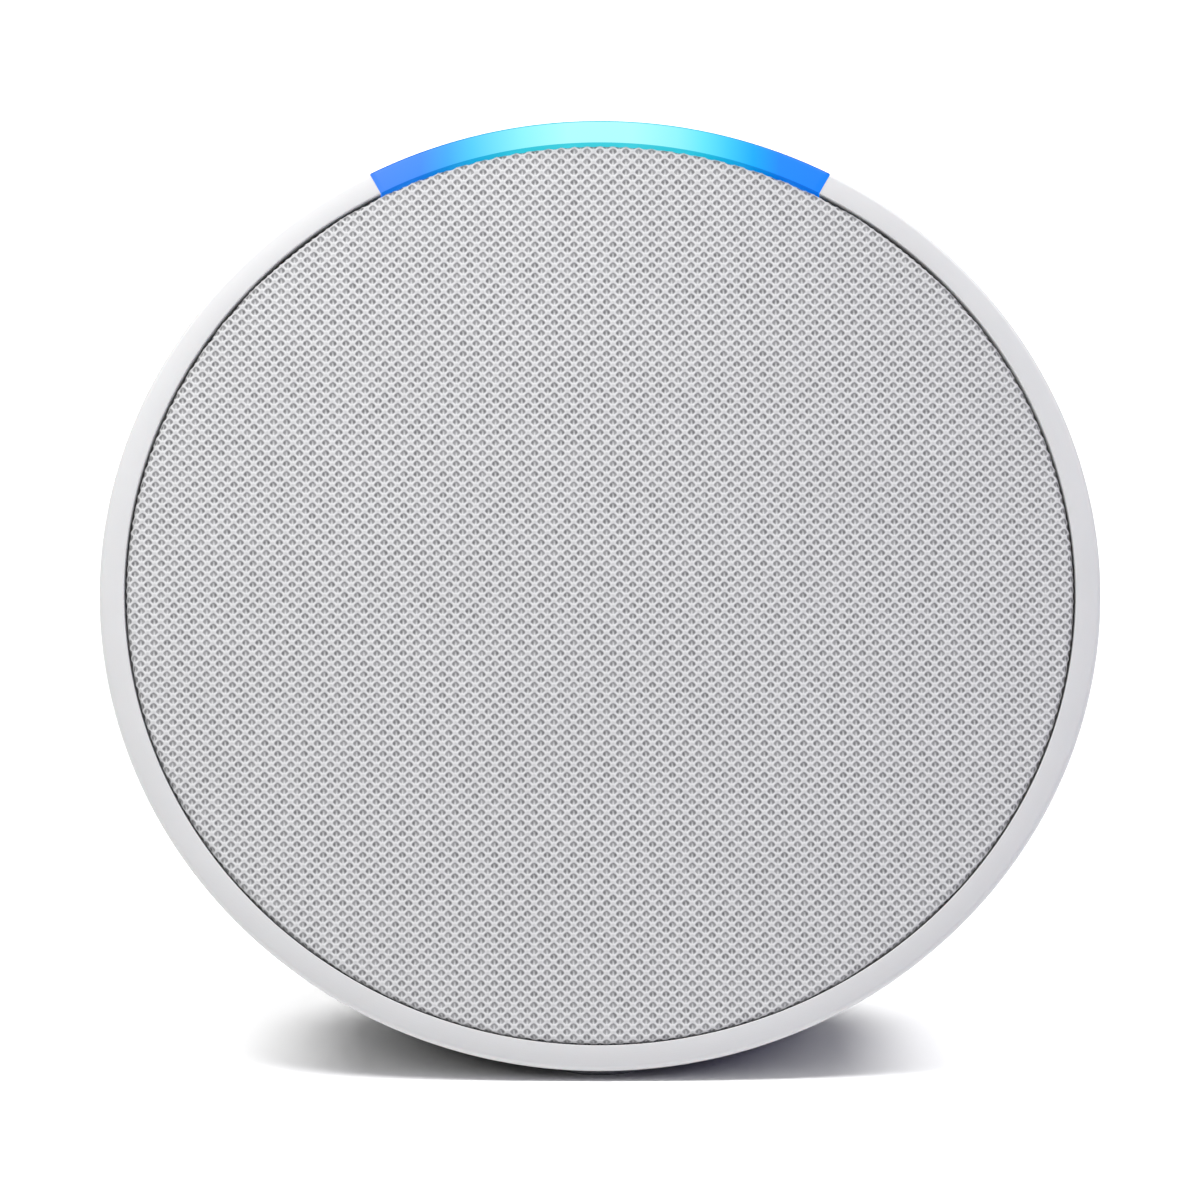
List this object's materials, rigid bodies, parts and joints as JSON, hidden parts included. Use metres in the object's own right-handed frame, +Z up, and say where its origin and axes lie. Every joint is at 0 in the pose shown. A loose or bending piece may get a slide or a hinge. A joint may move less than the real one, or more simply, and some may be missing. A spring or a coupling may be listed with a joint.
{
  "type": "smart speaker",
  "caption": "Half-dome smart speaker with a tilted round fabric front, a lit bar in its rim, top buttons and a rear power inlet.",
  "frame": {"origin": "centre of the object's box at its lowest face, on the table under the foot", "axes": "+X to the right as seen from the front, -Y the way the front faces, +Z up"},
  "size_m": [0.099, 0.0829, 0.0911],
  "materials": {
    "housing": "satin",
    "button_plastic": "satin",
    "knit_fabric": "matte",
    "light_bar": "gloss",
    "foot_rubber": "matte",
    "dark_plastic": "matte",
    "white_plastic": "matte",
    "led_body": "gloss",
    "circuit_board": "gloss",
    "flexible_circuit": "gloss",
    "zinc_steel": "satin",
    "basket_steel": "satin",
    "magnet": "gloss",
    "copper_coil": "satin",
    "cone_paper": "matte",
    "surround_rubber": "matte",
    "spider_cloth": "matte",
    "foam": "matte",
    "wire_jacket": "satin",
    "thermal_silicone": "matte",
    "aluminium": "satin",
    "gold_plate": "satin",
    "jack_plastic": "satin"
  },
  "bodies": {
    "housing": {"rear_shell": "housing", "foot": "foot_rubber", "grille_frame": "dark_plastic", "grille_fabric": "knit_fabric", "light_bar": "light_bar", "leds": "led_body", "led_board": "circuit_board", "light_shroud": "white_plastic", "speaker_baffle": "dark_plastic", "baffle_screws": "zinc_steel", "speaker_enclosure": "dark_plastic", "driver_basket": "basket_steel", "driver_screws": "zinc_steel", "driver_gasket": "foam", "driver_yoke": "zinc_steel", "driver_magnet": "magnet", "driver_pole_plate": "zinc_steel", "driver_surround": "surround_rubber", "driver_spider": "spider_cloth", "speaker_wires": "wire_jacket", "speaker_connector": "white_plastic", "main_board": "circuit_board", "board_screws": "zinc_steel", "shield_can": "zinc_steel", "thermal_pad": "thermal_silicone", "heat_sink": "aluminium", "antennas": "gold_plate", "board_connectors": "white_plastic", "ribbon_cable": "flexible_circuit", "top_bracket": "dark_plastic", "button_flex": "flexible_circuit", "snap_domes": "zinc_steel", "microphones": "gold_plate", "mic_gaskets": "foam", "power_board": "circuit_board", "power_connector": "white_plastic", "power_board_screws": "zinc_steel", "dc_jack": "jack_plastic", "dc_jack_pin": "gold_plate", "power_wires": "wire_jacket"},
    "volume_down_button": {"volume_down_button": "button_plastic"},
    "microphone_button": {"microphone_button": "button_plastic"},
    "volume_up_button": {"volume_up_button": "button_plastic"},
    "cone": {"voice_coil": "copper_coil", "speaker_cone": "cone_paper", "dust_cap": "cone_paper"}
  },
  "joints": [
    {"name": "volume_down_press", "type": "slide", "parent": "housing", "child": "volume_down_button", "axis": [0.3746, -0.3918, -0.8403], "range_m": [0, 0.0004], "stiffness_N_per_m": 2000, "deforming": ["snap_domes"]},
    {"name": "microphone_press", "type": "slide", "parent": "housing", "child": "microphone_button", "axis": [0, -0.4226, -0.9063], "range_m": [0, 0.0004], "stiffness_N_per_m": 2000, "deforming": ["snap_domes"]},
    {"name": "volume_up_press", "type": "slide", "parent": "housing", "child": "volume_up_button", "axis": [-0.3746, -0.3918, -0.8403], "range_m": [0, 0.0004], "stiffness_N_per_m": 2000, "deforming": ["snap_domes"]},
    {"name": "cone_travel", "type": "slide", "parent": "housing", "child": "cone", "axis": [0, -0.9063, 0.4226], "range_m": [-0.0015, 0.0015], "stiffness_N_per_m": 1800, "deforming": ["driver_surround", "driver_spider"]}
  ]
}
